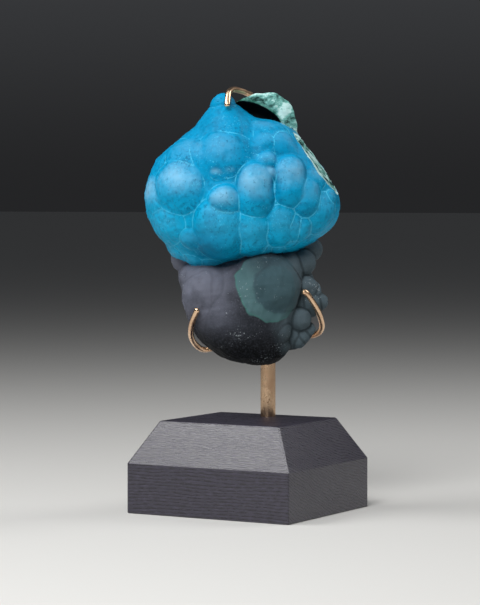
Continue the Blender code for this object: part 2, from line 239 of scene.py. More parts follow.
def round_bar(path, radii, sides):
    """A profile carried along a path: rings of points at the given radii, square to the path's direction.

    Each ring's first side is the one before it with the change of direction taken out, so the bar
    doesn't twist. The two ends close on a single point each.
    """
    direction = np.gradient(path, axis=0)
    direction /= np.linalg.norm(direction, axis=1, keepdims=True)
    side = np.cross(direction[0], (0.3, 0.5, 0.8))
    sideways = []
    for ahead in direction:
        side = side - ahead * (side @ ahead)
        side = side / np.linalg.norm(side)
        sideways.append(side)
    sideways = np.array(sideways)
    upward = np.cross(direction, sideways)
    turn = np.linspace(0, 2 * math.pi, sides, endpoint=False)[None, :, None]
    rings = path[:, None] + radii[:, None, None] * (
        np.cos(turn) * sideways[:, None] + np.sin(turn) * upward[:, None])
    points = np.vstack((rings.reshape(-1, 3), path[:1], path[-1:]))
    ring, step = np.meshgrid(np.arange(len(path) - 1), np.arange(sides), indexing="ij")
    here, beside = ring * sides + step, ring * sides + (step + 1) % sides
    walls = np.stack((here, beside, beside + sides, here + sides), -1).reshape(-1, 4)
    first, last = len(points) - 2, len(points) - 1
    around = np.arange(sides)
    start_cap = np.stack((np.full(sides, first), (around + 1) % sides, around), -1)
    end_ring = (len(path) - 1) * sides
    end_cap = np.stack((np.full(sides, last), end_ring + around, end_ring + (around + 1) % sides), -1)
    return points, [*walls.tolist(), *start_cap.tolist(), *end_cap.tolist()]


def new_piece(name, points, faces, material):
    """A smooth-shaded mesh object at the origin, its place in its mesh."""
    mesh = bpy.data.meshes.new(name)
    mesh.from_pydata(points.tolist(), [], faces)
    mesh.validate()
    mesh.shade_smooth()
    mesh.materials.append(material)
    piece = bpy.data.objects.new(name, mesh)
    bpy.context.scene.collection.objects.link(piece)
    return piece


def claw_piece(node, route, material):
    """The wire thins to a filed round tip over its last radius, and flares into braze at the post."""
    path = smooth_route(route, ROUTE_STEPS)
    steps = np.linalg.norm(np.diff(path, axis=0), axis=1)
    along = np.concatenate(([0], np.cumsum(steps)))
    left = along[-1] - along
    quarter_turn = np.linspace(0, math.pi / 2, TIP_RINGS)
    tip_rings = along[-1] - WIRE_RADIUS * (1 - np.cos(quarter_turn))[::-1] * 0.999
    foot_rings = np.linspace(0.1, FILLET_END, FOOT_RINGS)
    stations = np.sort(np.concatenate((along[left > WIRE_RADIUS], tip_rings, foot_rings)))
    path = np.stack([np.interp(stations, along, path[:, axis]) for axis in range(3)], -1)
    left = np.clip(along[-1] - stations, 0, WIRE_RADIUS)
    radii = np.sqrt(np.maximum(WIRE_RADIUS ** 2 - (WIRE_RADIUS - left) ** 2, 1e-4))
    radii += FILLET_RISE * np.exp(-(stations / FILLET_REACH) ** 2)
    points, faces = round_bar(to_object(path), radii * MM, WIRE_SIDES)
    piece = new_piece(node + "_wire", points, faces, material)
    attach(piece, "root")
    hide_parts(node)


wire_brass = drawn_brass("bent brass wire", (1, 1, 1))
for node, route in WIRE_ROUTES.items():
    claw_piece(node, route, wire_brass)

# Specimen. One natural piece: a dark botryoidal malachite mass below, a larger mass above with a blue
# chrysocolla skin, and a broken edge of banded malachite: a rim round a hollow at the top, a strip down
# the right side, and the back. It rests in the claws and was never cut or fixed.
BLUE_BODY = {
    "centre": (-2.5, 133.5), "front": 25, "back": 16, "squareness": 2.2, "crease_blend": 0.2,
    "outline": (
        (-10, 173), (-14, 171), (-19, 163), (-27, 155), (-37, 148), (-41.5, 139.5), (-43, 129.5),
        (-41, 121), (-36, 113.5), (-29, 106), (-21.5, 101.5), (-12, 102.5), (-2, 105), (8, 106),
        (18, 107.5), (26.5, 112.5), (33.5, 116.5), (38, 123), (37.5, 133), (33, 143.5), (25, 153),
        (17, 159), (8, 163), (2, 162.5), (-3, 167))}
BLUE_LUMPS = (
    (-29, 135, 11.8, 3.4, 0), (-41, 130, 10, 0.6, 0), (-34, 118, 9.6, 1.4, 0), (-26.5, 148.5, 8.4, 1, 0),
    (-12, 148, 10.2, 3, 0), (-19.5, 148, 7, 1.4, 0), (-13, 140.5, 3, 1, 0), (-8, 141.5, 2.6, 0.9, 0),
    (2.5, 133.5, 8, 4.3, 3.6), (-10, 129, 7.2, 4.4, 0), (-12, 117, 10.8, 3.9, 2.5), (-24, 113.5, 5, 2, 0),
    (17, 137.5, 7.2, 3.6, 3.6), (7.5, 145.5, 4.4, 2.3, 0), (7.5, 139.5, 4.4, 2, 0), (7, 153.5, 5, 1.2, 0),
    (14, 153, 6.4, 1.5, 0), (5.5, 159, 6.4, 0.8, 0), (24, 130.5, 6.2, 2.7, 1.8), (27.5, 138.5, 5.4, 1.2, 0),
    (30, 124, 8.6, 2.3, 0), (33.5, 130, 3.8, 1.4, 0), (1, 115, 8, 3.1, 2.6), (13, 118.5, 6.8, 2.6, 2.4),
    (17.5, 117.5, 5.8, 2.1, 1), (22, 117.5, 4.4, 2.1, 1.6), (6, 110, 4.8, 1.7, 0), (12, 110, 4.2, 1.5, 0),
    (17, 112, 4.2, 1.5, 0), (-29.5, 107, 4.6, 1.2, 0), (-23, 104, 5.2, 1.3, 0), (-16, 103, 5, 1.2, 0))
BLUE_KNOBS = ((-18, -1, 110.5, 9.6), (-25, -2, 113, 9.6), (-10.5, 5.5, 168.2, 5.2))
DARK_BODY = {
    "centre": (-2.5, 85), "front": 21, "back": 12, "squareness": 2.2, "crease_blend": 0.6,
    "outline": (
        (-30, 101), (-28, 95), (-26.5, 86), (-25.5, 79.5), (-20, 71.5), (-12, 65.5), (-1, 61.5),
        (7, 61), (14, 63), (17, 70), (18, 81.5), (21, 94), (23.5, 105), (18, 109), (6.5, 108),
        (-1.5, 105), (-13, 103), (-25.5, 103))}
DARK_LUMPS = (
    (-1, 84, 14.5, 2.4, 0), (-22.5, 88.5, 8, 2.8, 1.5), (10, 94.5, 13, 3.6, 0), (-5.5, 70.5, 7, 1.5, 0),
    (14.5, 75.5, 4.8, 2, 0), (14, 67.5, 4.6, 1.8, 0))
DARK_KNOBS = (
    (22.6, 2, 103.6, 5.3), (25.5, -3, 109, 5.2), (24, 3.5, 93.5, 4.2), (26, 1, 91.5, 4.2),
    (29.3, 1, 87.2, 3.7), (25.5, 2, 86, 5), (21.3, 8, 80.3, 4.4), (20.1, 5, 71.3, 3.4),
    (22.6, 5, 73.4, 3.4), (25, 5, 75.6, 3), (17, 3, 73, 6), (20, 0, 85, 7), (21, -2, 96, 6),
    (-26.5, -4, 105, 6), (-23.5, -2, 97.5, 6), (-23.8, 3, 98.4, 2.2), (-2, -4, 104, 10))
RIM_BODY = {
    "centre": (7, 158), "front": 2.5, "back": 7, "squareness": 3.0,
    "outline": (
        (-5.5, 171), (-1.5, 171.5), (5, 173.3), (10, 174.5), (14, 172.5), (17.5, 169), (19.5, 163),
        (20, 157), (24, 150), (21.5, 144), (6.5, 144), (-2, 150), (-6, 160), (-7, 167.5))}
HOLLOW_CENTRE, HOLLOW_SIZE, HOLLOW_TILT = (3.2, 1, 164.2), (11, 5.5, 4.6), math.radians(24)
EDGE_BREAK_TOP, EDGE_BREAK_FOOT, EDGE_BREAK_FRONT, EDGE_BREAK_LEAN = (17.5, 158.5), (35, 134), 6.5, 0.15
BACK_FACE, BACK_RELIEF, BACK_WAVE_LENGTHS = -9.5, 0.7, (23, 31)
RIM_BAND_START = 3.0
NEAR_BREAK, SKIN_THICKNESS, RIM_THICKNESS = 0.3, 0.2, 0.25
BLUE_GRAIN, DARK_GRAIN, GRAIN_LENGTH = 0.07, 0.11, 3.0
SWELL, SWELL_LENGTH = 0.2, 10.0
CRUST, CRUST_LENGTH, CRUST_END, CRUST_FADE = 0.09, 1.9, -10, 16
FIBRE_DEPTH, FIBRE_WIDTH, FIBRE_LENGTH, FIBRE_WANDER = 0.16, 1.1, 1.3, 7.0
FOLD_DEPTH, FOLD_WIDTH, FOLD_WANDER, FOLD_START = 0.4, 2.2, 9.0, 0.4
STREAK_SHARE, HOLLOW_FADE = 0.12, 3
# Painted highlight on the blue domes: its fade under neighbours, and where it weakens towards the right.
PAINTED_HIGHLIGHT_FADE, PAINTED_HIGHLIGHT_END, PAINTED_HIGHLIGHT_END_FADE, PAINTED_HIGHLIGHT_LEAST = 0.8, 25, 5, 0.3
CORNER_ROUNDING = (-8, -4, 0, 4, 8)
JOIN_BLEND = 0.15
GRID_STEP = 0.54
GRID_LOW, GRID_HIGH = (-46, -14, 56), (42, 31, 178)


def reach(outline, centre, angle):
    """Distance from the centre to the outline at an angle, with the outline's corners rounded."""
    points = np.array(outline, float) - centre
    angles = np.arctan2(points[:, 1], points[:, 0])
    order = np.argsort(angles)
    distances = np.hypot(points[:, 0], points[:, 1])[order]
    turns = [angle + math.radians(step) for step in CORNER_ROUNDING]
    return sum(np.interp(turn, angles[order], distances, period=2 * math.pi) for turn in turns) / len(turns)


def body_distance(body, points):
    """Distance to a swollen outline: the share of the reach and the share of the thickness, each to
    the power of squareness, add up to one on its surface. Close to the surface this is millimetres.
    """
    across, front, up = points.T
    power = body["squareness"]
    off_across, off_up = across - body["centre"][0], up - body["centre"][1]
    far = reach(body["outline"], body["centre"], np.arctan2(off_up, off_across))
    thick = np.where(front > 0, body["front"], body["back"])
    flat, deep = np.hypot(off_across, off_up) / far, np.abs(front) / thick
    level = np.maximum((flat ** power + deep ** power) ** (1 / power), 0.05)
    slope = np.hypot((flat / level) ** (power - 1) / far, (deep / level) ** (power - 1) / thick)
    return (level - 1) / np.maximum(slope, 1e-6)


def front_point(body, across, up):
    """The point of a body's front at (across, up), from the same sum of powers."""
    off = np.array((across, up)) - body["centre"]
    far = reach(body["outline"], body["centre"], np.arctan2(off[1], off[0]))
    share = min(np.hypot(*off) / far, 0.995)
    power = body["squareness"]
    return np.array((across, body["front"] * (1 - share ** power) ** (1 / power), up))


def lump_balls(body, lumps, knobs):
    """One row (across, front, up, radius, half length along three directions) for each lump and knob.

    A shallow lump (across, up, seen radius, height, half length) stands over the body's front by its
    height, meets the body at its seen radius, and is drawn out along the front by its half length.
    """
    rows = []
    step = 0.05
    turns = np.linspace(0, 2 * math.pi, 8, endpoint=False)[:, None]
    for across, up, seen, height, half in lumps:
        point = front_point(body, across, up)
        slope_across = front_point(body, across + step, up) - front_point(body, across - step, up)
        slope_up = front_point(body, across, up + step) - front_point(body, across, up - step)
        outward = np.cross(slope_across, slope_up)
        outward *= np.sign(outward[1]) / np.linalg.norm(outward)
        sideways = np.cross(outward, (0, 0, 1))
        sideways /= np.linalg.norm(sideways)
        upward = np.cross(sideways, outward)
        ring = point + seen * (np.cos(turns) * sideways + np.sin(turns) * upward)
        rise = height + body_distance(body, ring).mean()
        radius = (seen ** 2 + rise ** 2) / (2 * rise)
        rows.append((*(point + outward * (height - radius)), radius, *(upward * half)))
    return np.array([*rows, *((*knob, 0, 0, 0) for knob in knobs)])


def ball_distances(balls, points):
    """One array of distances for each ball, or for each ball swept along its length."""
    for ball in balls:
        off, half = points - ball[:3], ball[4:]
        along = np.clip(off @ half / max(half @ half, 1e-9), -1, 1)
        yield np.linalg.norm(off - along[:, None] * half, axis=1) - ball[3]


def blended(distances, width):
    """The least of several distances, with the creases between them filled over about the width."""
    total = 0
    for distance in distances:
        total = total + np.exp(-np.clip(distance, -20, 20) / width)
    return -width * np.log(total)


BLUE_BALLS = lump_balls(BLUE_BODY, BLUE_LUMPS, BLUE_KNOBS)
DARK_BALLS = lump_balls(DARK_BODY, DARK_LUMPS, DARK_KNOBS)


def mass_distance(body, balls, points):
    """Distance to a body and its lumps and knobs, with the creases between them a little filled."""
    return blended([body_distance(body, points), *ball_distances(balls, points)], body["crease_blend"])


def edge_break(points):
    """How far a point lies outside the broken plane down the right edge."""
    run = np.subtract(EDGE_BREAK_FOOT, EDGE_BREAK_TOP)
    run = run / np.hypot(*run)
    outward = np.array((-run[1], EDGE_BREAK_LEAN, run[0]))
    outward /= np.linalg.norm(outward)
    return (points - (EDGE_BREAK_TOP[0], EDGE_BREAK_FRONT, EDGE_BREAK_TOP[1])) @ outward


def hollow_distance(points):
    """Distance to the hollow's ellipsoid, in a frame tilted with it: how far its level is from one,
    divided by how fast the level rises there.
    """
    off = points - HOLLOW_CENTRE
    cosine, sine = math.cos(HOLLOW_TILT), math.sin(HOLLOW_TILT)
    across = off[:, 0] * cosine - off[:, 2] * sine
    up = off[:, 0] * sine + off[:, 2] * cosine
    scaled = np.stack((across, off[:, 1], up), -1) / HOLLOW_SIZE
    level = np.maximum(np.linalg.norm(scaled, axis=1), 0.05)
    slope = np.linalg.norm(scaled / HOLLOW_SIZE, axis=1) / level
    return (level - 1) / np.maximum(slope, 0.05)


def back_break(points):
    """How far a point lies behind the broken back, a plane with two crossed waves."""
    across, front, up = points.T
    across_wave, up_wave = (2 * math.pi / length for length in BACK_WAVE_LENGTHS)
    return BACK_FACE - BACK_RELIEF * np.sin(across_wave * across + 1) * np.sin(up_wave * up) - front


def specimen_parts(points):
    """Distances to the uncut blue mass, the dark mass and the uncut rim, and past the three breaks."""
    return (
        mass_distance(BLUE_BODY, BLUE_BALLS, points), mass_distance(DARK_BODY, DARK_BALLS, points),
        body_distance(RIM_BODY, points), edge_break(points), -hollow_distance(points), back_break(points))


def specimen_distance(points):
    """Distance to the whole specimen: the masses joined, less what is broken away."""
    blue, dark, rim, edge, hollow, back = specimen_parts(points)
    joined = blended((np.maximum(blue, edge), dark, np.maximum(rim, hollow)), JOIN_BLEND)
    return np.maximum(joined, back)


def slopes(distance, points):
    """The distance's rate of change along each direction, from points a little to both sides."""
    step = 0.08
    sides = [(distance(points + axis) - distance(points - axis)) / (2 * step) for axis in np.eye(3) * step]
    return np.stack(sides, -1)


def net(distance, low, high, step):
    """A closed net of quads where the distance is zero, on a grid of cells.

    Each cell that the surface passes through gets one point, the mean of where its edges are crossed.
    Each grid edge that is crossed gets one quad, between the points of the four cells round it.
    """
    axes = [np.arange(start, end, step) for start, end in zip(low, high)]
    grid = np.stack(np.meshgrid(*axes, indexing="ij"), -1)
    values = np.stack([distance(sheet.reshape(-1, 3)).reshape(sheet.shape[:2]) for sheet in grid])
    inside = values < 0
    cells = tuple(size - 1 for size in values.shape)
    total, crossings = np.zeros((*cells, 3)), np.zeros(cells)
    corners = [(x, y, z) for x in (0, 1) for y in (0, 1) for z in (0, 1)]
    for first in corners:
        for axis in range(3):
            if first[axis]:
                continue
            second = tuple(value + (index == axis) for index, value in enumerate(first))
            near, far = (
                tuple(slice(c, c + n) for c, n in zip(corner, cells)) for corner in (first, second))
            crossed = inside[near] != inside[far]
            gap = np.where(crossed, values[near] - values[far], 1)
            place = np.broadcast_to(np.array(first, float), (*cells, 3)).copy()
            place[..., axis] += values[near] / gap
            total += place * crossed[..., None]
            crossings += crossed
    active = crossings > 0
    number = np.full(cells, -1)
    number[active] = np.arange(active.sum())
    points = (np.argwhere(active) + total[active] / crossings[active][:, None]) * step + low
    quads = []
    for axis in range(3):
        others = [(axis + 1) % 3, (axis + 2) % 3]
        ahead = [slice(1, -1)] * 3
        ahead[axis] = slice(1, None)
        behind = list(ahead)
        behind[axis] = slice(None, -1)
        here, there = inside[tuple(behind)], inside[tuple(ahead)]
        at = np.argwhere(here != there)
        outward = here[here != there]
        at += np.array([0 if index == axis else 1 for index in range(3)])
        ring = []
        for first, second in ((-1, -1), (0, -1), (0, 0), (-1, 0)):
            cell = at.copy()
            cell[:, others[0]] += first
            cell[:, others[1]] += second
            ring.append(number[tuple(cell.T)])
        ring = np.stack(ring, -1)
        quads.append(np.where(outward[:, None], ring, ring[:, ::-1]))
    return points, np.vstack(quads)


def evened(points, quads):
    """Each point moved half way to the mean of its neighbours along the net's edges."""
    total, count = np.zeros_like(points), np.zeros(len(points))
    for first, second in ((0, 1), (1, 2), (2, 3), (3, 0)):
        for start, end in ((first, second), (second, first)):
            np.add.at(total, quads[:, start], points[quads[:, end]])
            np.add.at(count, quads[:, start], 1)
    return 0.5 * points + 0.5 * total / np.maximum(count, 1)[:, None]


def settled(distance, points):
    """Points moved along the slope onto the surface, by no more than half a grid step at a time."""
    for _ in range(2):
        slope = slopes(distance, points)
        move = distance(points) / np.maximum((slope ** 2).sum(-1), 0.05)
        points = points - slope * np.clip(move, -GRID_STEP / 2, GRID_STEP / 2)[:, None]
    return points


def ripples(points, length, seed, waves=24):
    """Noise between about -1 and 1: the mean of waves in random directions, of nearly one length."""
    chance = np.random.default_rng(seed)
    direction = chance.normal(size=(waves, 3))
    direction /= np.linalg.norm(direction, axis=1, keepdims=True)
    lengths = length * chance.uniform(0.7, 1.5, waves)
    start = chance.uniform(0, 2 * math.pi, waves)
    total = 0
    for way, size, phase in zip(direction, lengths, start):
        total = total + np.sin(points @ way * (2 * math.pi / size) + phase)
    return total / math.sqrt(waves)


def crease_distance(body, balls, points):
    """How much nearer a point is to its own lump than to the next one, zero on the line between."""
    least = np.full(len(points), 1e3)
    second = least.copy()
    for distance in (body_distance(body, points), *ball_distances(balls, points)):
        second = np.minimum(second, np.maximum(least, distance))
        least = np.minimum(least, distance)
    return second - least


def seam_distance(points):
    """Millimetres from the nearest line between two lumps of one mass.

    The difference between the two nearest lumps is divided by how fast it changes, so that the line
    is as wide between two lumps that meet at a shallow angle as between two that meet at a steep one.
    """
    dark = mass_distance(DARK_BODY, DARK_BALLS, points) < mass_distance(BLUE_BODY, BLUE_BALLS, points)

    def difference(places):
        return np.where(dark, crease_distance(DARK_BODY, DARK_BALLS, places),
                        crease_distance(BLUE_BODY, BLUE_BALLS, places))

    change = np.linalg.norm(slopes(difference, points), axis=1)
    return difference(points) / np.maximum(change, 0.12)


def dome_painted_highlight(balls, lumps, body, points):
    """Painted highlight, zero to one over each shallow lump: highest on its upper half, which faces the
    light from above, fading to its edge and its foot.

    It fades too where a neighbour stands over the lump, with the lump's own distance below the surface.
    """
    painted_highlight = np.zeros(len(points))
    distances = ball_distances(balls, points)
    for (across, up, seen, height, half), ball, distance in zip(lumps, balls, distances):
        outward = front_point(body, across, up) - ball[:3]
        pole = ball[:3] + outward / np.linalg.norm(outward) * ball[3]
        off, long = points - pole, ball[4:]
        along = np.clip(off @ long / max(long @ long, 1e-9), -1, 1)
        near = np.clip(1 - ((off - along[:, None] * long) ** 2).sum(-1) / seen ** 2, 0, 1)
        lift = np.clip(0.5 + off[:, 2] / (seen + half), 0, 1)
        bare = np.exp(-(distance / PAINTED_HIGHLIGHT_FADE) ** 2)
        painted_highlight = np.maximum(painted_highlight, near ** 0.7 * lift ** 2 * (3 - 2 * lift) * bare)
    return painted_highlight


def specimen_piece(material):
    """The stone's mesh: the net of its distance, moved outward by its fine relief.

    The relief is the skin's grain and swell, a rough crust at the far left, and on the broken faces
    fibres that follow the depth and folds that follow the hollow. Each point stores what its finish needs.
    """
    points, quads = net(specimen_distance, GRID_LOW, GRID_HIGH, GRID_STEP)
    points = settled(specimen_distance, evened(settled(specimen_distance, points), quads))
    blue, dark, rim, edge, hollow, back = specimen_parts(points)
    outer = blended((blue, dark), JOIN_BLEND)
    on_edge = (edge > -NEAR_BREAK) & (blue < -SKIN_THICKNESS)
    on_back = back > -NEAR_BREAK
    on_rim = (np.minimum(blue, dark) > RIM_THICKNESS) & ~on_back
    broken = on_edge | on_back | on_rim
    depth = np.where(on_rim, np.maximum(hollow, 0) + RIM_BAND_START, -outer)
    crease = seam_distance(points)
    # Painted highlight: pale over the upper half of each blue dome, where the light from above falls, weaker
    # towards the right.
    painted_highlight = dome_painted_highlight(BLUE_BALLS, BLUE_LUMPS, BLUE_BODY, points)
    painted_highlight *= np.clip((PAINTED_HIGHLIGHT_END - points[:, 0]) / PAINTED_HIGHLIGHT_END_FADE, PAINTED_HIGHLIGHT_LEAST, 1)
    outward = slopes(specimen_distance, points)
    outward /= np.linalg.norm(outward, axis=1, keepdims=True)
    relief = np.where(dark < blue, DARK_GRAIN, BLUE_GRAIN) * ripples(points, GRAIN_LENGTH, 1)
    relief += SWELL * ripples(points, SWELL_LENGTH, 2)
    crusted = np.clip((CRUST_END - points[:, 0]) / CRUST_FADE, 0, 1) * (blue < dark)
    wander = 2 * ripples(points, FIBRE_WANDER, 3)
    fibres = FIBRE_DEPTH * np.sin(2 * math.pi * depth / FIBRE_WIDTH + wander)
    drawn_out = np.stack((points[:, 0] * STREAK_SHARE, depth, points[:, 2] * STREAK_SHARE), -1)
    fibres += FIBRE_DEPTH * ripples(drawn_out, FIBRE_LENGTH, 4)
    wander = 1.6 * ripples(points, FOLD_WANDER, 5)
    folds = FOLD_DEPTH * np.sin(2 * math.pi * hollow / FOLD_WIDTH + wander)
    folds *= on_rim & (hollow > FOLD_START)
    relief += CRUST * crusted * ripples(points, CRUST_LENGTH, 6)
    points = points + outward * np.where(broken, relief + fibres + folds, relief)[:, None]
    piece = new_piece("specimen_stone", to_object(points), quads.tolist(), material)
    values = {"dark": dark < blue, "broken": broken, "depth": depth, "crease": crease, "painted_highlight": painted_highlight,
              "hollow": np.clip(1 - np.abs(hollow) / HOLLOW_FADE, 0, 1) * on_rim}
    for name, value in values.items():
        layer = piece.data.attributes.new(name, "FLOAT", "POINT")
        layer.data.foreach_set("value", np.asarray(value, np.float32))
    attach(piece, "root")
    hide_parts("specimen")
    return piece


# The lighter teal is painted over the lower blue and the deeper sky blue over the upper, so the colour evens
# out the light from above.
BLUE_SKY, BLUE_TEAL, BLUE_DEEP = (0, 136, 182), (0, 160, 204), (0, 94, 132)
# The pale blue of the painted highlights, and the light blue of the crease lines and the painted glints.
BLUE_PAINTED_HIGHLIGHT, BLUE_LINE = (140, 196, 226), (84, 196, 230)
# The green-black is painted shade, on the underside of the dark mass and in its creases.
CHARCOAL, PAINTED_SHADE_GREEN_BLACK, DUSTY, WHITE_DUST = (40, 43, 49), (9, 12, 13), (98, 101, 114), (176, 186, 192)
GREY_GREEN = (85, 102, 109)
TEAL_ZONE, TEAL_CRESCENT, TEAL_LINE = (60, 86, 93), (86, 120, 122), (66, 132, 118)
MINT, MINT_PALE, BAND_GREEN = (112, 174, 166), (188, 222, 220), (14, 50, 45)
# The near black inside the hollow is partly the stone's own dark and partly painted shade.
EMERALD, HOLLOW_DARK_AND_SHADE = (0, 92, 66), (2, 10, 12)
INNER_ZONE, OUTER_ZONE = ((10.6, 20, 93.4), 9.6), ((7.9, 18, 93.9), 13.8)
ZONE_TURN = (-0.75, 0, -0.66)
# Painted shade: the sphere round the lower-left dome, which faces down, where the blue is painted deeper.
BLUE_PAINTED_SHADE_ZONE = ((-16, 18, 111), 8)


def attribute(tree, name):
    """A value stored on the stone's points."""
    return add(tree, "Attribute", attribute_name=name).outputs["Fac"]


def blue_skin(tree, where):
    """Saturated blue with light lines in some creases, and painted light: highlights where the domes face
    up, deeper blue up high and lighter teal low down, shade on the lower-left dome and in small pits, and
    glints.
    """
    place = add(tree, "SeparateXYZ", {0: where}).outputs
    height = place["Z"]
    # Painted light: the blue is deeper high up and lighter teal low down, so the colour evens out the light
    # from above.
    low = ramp(tree, height, 150 * MM, 112 * MM)
    cloud = noise(tree, where, 0.11, 5.0, 0.62)
    ground = mixed(tree, low, paint(*BLUE_SKY), paint(*BLUE_TEAL))
    patches = maths(tree, "MULTIPLY", ramp(tree, cloud, 0.5, 0.66), 0.4)
    ground = mixed(tree, patches, ground, paint(*BLUE_DEEP))
    # Painted shade: deeper blue over the lower-left dome, which faces down.
    painted_shade = zone_distance(tree, where, BLUE_PAINTED_SHADE_ZONE, maths(tree, "MULTIPLY", cloud, 6.0))
    painted_shade = ramp(tree, painted_shade, 11.0, -3.0)
    ground = mixed(tree, maths(tree, "MULTIPLY", painted_shade, 0.75), ground, paint(*BLUE_DEEP))
    mottle = ramp(tree, noise(tree, where, 0.45, 5.0, 0.65), 0.5, 0.64)
    ground = mixed(tree, maths(tree, "MULTIPLY", mottle, 0.3), ground, paint(*BLUE_DEEP))
    # Painted highlight: pale blue over the upper half of each dome, strongest between 132 and 138 mm up.
    painted_highlight_mask = maths(tree, "MULTIPLY", attribute(tree, "painted_highlight"), ramp(tree, cloud, 0.15, 0.6))
    share = maths(tree, "MULTIPLY_ADD", ramp(tree, height, 122 * MM, 132 * MM), 0.6, 0.1)
    share = maths(tree, "MULTIPLY_ADD", ramp(tree, height, 138 * MM, 150 * MM), -0.5, share)
    colour = mixed(tree, maths(tree, "MULTIPLY", painted_highlight_mask, share), ground, paint(*BLUE_PAINTED_HIGHLIGHT))
    line = ramp(tree, attribute(tree, "crease"), 0.4, 0.05)
    patchy = maths(tree, "MULTIPLY_ADD", low, 0.1, noise(tree, where, 0.09, 2.0))
    patchy = ramp(tree, patchy, 0.46, 0.6)
    right = ramp(tree, place["X"], -5 * MM, 18 * MM)
    line = maths(tree, "MULTIPLY", line, maths(tree, "MULTIPLY", patchy, 0.55))
    line = maths(tree, "MULTIPLY", line, maths(tree, "MULTIPLY_ADD", right, 0.5, 1.0))
    colour = mixed(tree, line, colour, paint(*BLUE_LINE))
    # Painted shade: small dark spots for the shade inside tiny pits.
    painted_pit_shade = speckle(tree, where, 0.9, 0.09, 0.89)
    colour = mixed(tree, maths(tree, "MULTIPLY", painted_pit_shade, 0.4), colour, paint(*BLUE_DEEP))
    # Painted glints: small pale spots for the highlights on tiny bumps.
    painted_glints = speckle(tree, where, 1.3, 0.08, 0.92)
    return mixed(tree, maths(tree, "MULTIPLY", painted_glints, 0.45), colour, paint(*BLUE_LINE))


def zone_distance(tree, where, zone, wobble):
    """Millimetres outside a zone's sphere, its edge made uneven by the wobble."""
    centre, radius = zone
    centre = tuple(float(value) for value in to_object(centre))
    off = add(tree, "VectorMath", {0: where, 1: centre}, operation="DISTANCE").outputs["Value"]
    return maths(tree, "ADD", maths(tree, "SUBTRACT", maths(tree, "DIVIDE", off, MM), float(radius)), wobble)


def dark_skin(tree, where):
    """Charcoal velvet with growth zones of teal on one dome and white dust, and green-black painted shade
    below and in its creases.

    The pale crescent lies outside the inner zone and inside the outer one, on the side that ZONE_TURN
    points to, and fades away round the other side.
    """
    height = add(tree, "SeparateXYZ", {0: where}).outputs["Z"]
    cloud = noise(tree, where, 0.12, 5.0)
    along = add(tree, "SeparateXYZ", {0: where}).outputs["X"]
    dusty = maths(tree, "MULTIPLY", ramp(tree, cloud, 0.1, 0.6), ramp(tree, height, 70 * MM, 86 * MM))
    dusty = maths(tree, "MULTIPLY", dusty, ramp(tree, along, 14 * MM, -8 * MM))
    colour = mixed(tree, dusty, paint(*CHARCOAL), paint(*DUSTY))
    # Painted shade: green-black over the lower dark mass, which faces down.
    colour = mixed(tree, ramp(tree, height, 78 * MM, 66 * MM), colour, paint(*PAINTED_SHADE_GREEN_BLACK))
    lobes = ramp(tree, along, 16 * MM, 22 * MM)
    colour = mixed(tree, maths(tree, "MULTIPLY", lobes, 0.7), colour, paint(*GREY_GREEN))
    velvet = ramp(tree, noise(tree, where, 1.4, 2.0), 0.45, 0.65)
    colour = mixed(tree, maths(tree, "MULTIPLY", velvet, 0.14), colour, paint(*DUSTY))
    # Painted shade: green-black in the creases between lumps, strongest on the right-hand lobes.
    painted_crease_shade = maths(tree, "MULTIPLY", ramp(tree, attribute(tree, "crease"), 0.9, 0.1),
                   maths(tree, "MAXIMUM", lobes, 0.3))
    colour = mixed(tree, maths(tree, "MULTIPLY", painted_crease_shade, 0.5), colour, paint(*PAINTED_SHADE_GREEN_BLACK))
    wobble = maths(tree, "MULTIPLY", maths(tree, "SUBTRACT", noise(tree, where, 0.09, 2.5), 0.5), 8.0)
    outer = zone_distance(tree, where, OUTER_ZONE, wobble)
    inner = zone_distance(tree, where, INNER_ZONE, wobble)
    middle = tuple(float(value) for value in to_object(INNER_ZONE[0]))
    facing = tuple(float(value) for value in to_object(ZONE_TURN) / MM)
    off = add(tree, "VectorMath", {0: where, 1: middle}, operation="SUBTRACT").outputs[0]
    side = add(tree, "VectorMath", {0: off, 1: facing}, operation="DOT_PRODUCT").outputs["Value"]
    side = ramp(tree, side, -5 * MM, 7 * MM)
    inside = ramp(tree, outer, 0.9, -0.6)
    crescent = maths(tree, "MULTIPLY", maths(tree, "MULTIPLY", inside, ramp(tree, inner, -0.5, 0.7)), side)
    around = maths(tree, "MAXIMUM", side, 0.6)
    teal = maths(tree, "MAXIMUM", ramp(tree, inner, 1.5, -1.5), maths(tree, "MULTIPLY", inside, around))
    colour = mixed(tree, maths(tree, "MULTIPLY", teal, 0.8), colour, paint(*TEAL_ZONE))
    colour = mixed(tree, maths(tree, "MULTIPLY", crescent, 0.5), colour, paint(*TEAL_CRESCENT))
    edge = maths(tree, "MULTIPLY", ramp(tree, maths(tree, "ABSOLUTE", outer), 0.6, 0.1), side)
    colour = mixed(tree, maths(tree, "MULTIPLY", edge, 0.3), colour, paint(*TEAL_LINE))
    dust = speckle(tree, where, 1.3, 0.09, 0.96)
    return mixed(tree, maths(tree, "MULTIPLY", dust, 0.5), colour, paint(*WHITE_DUST))


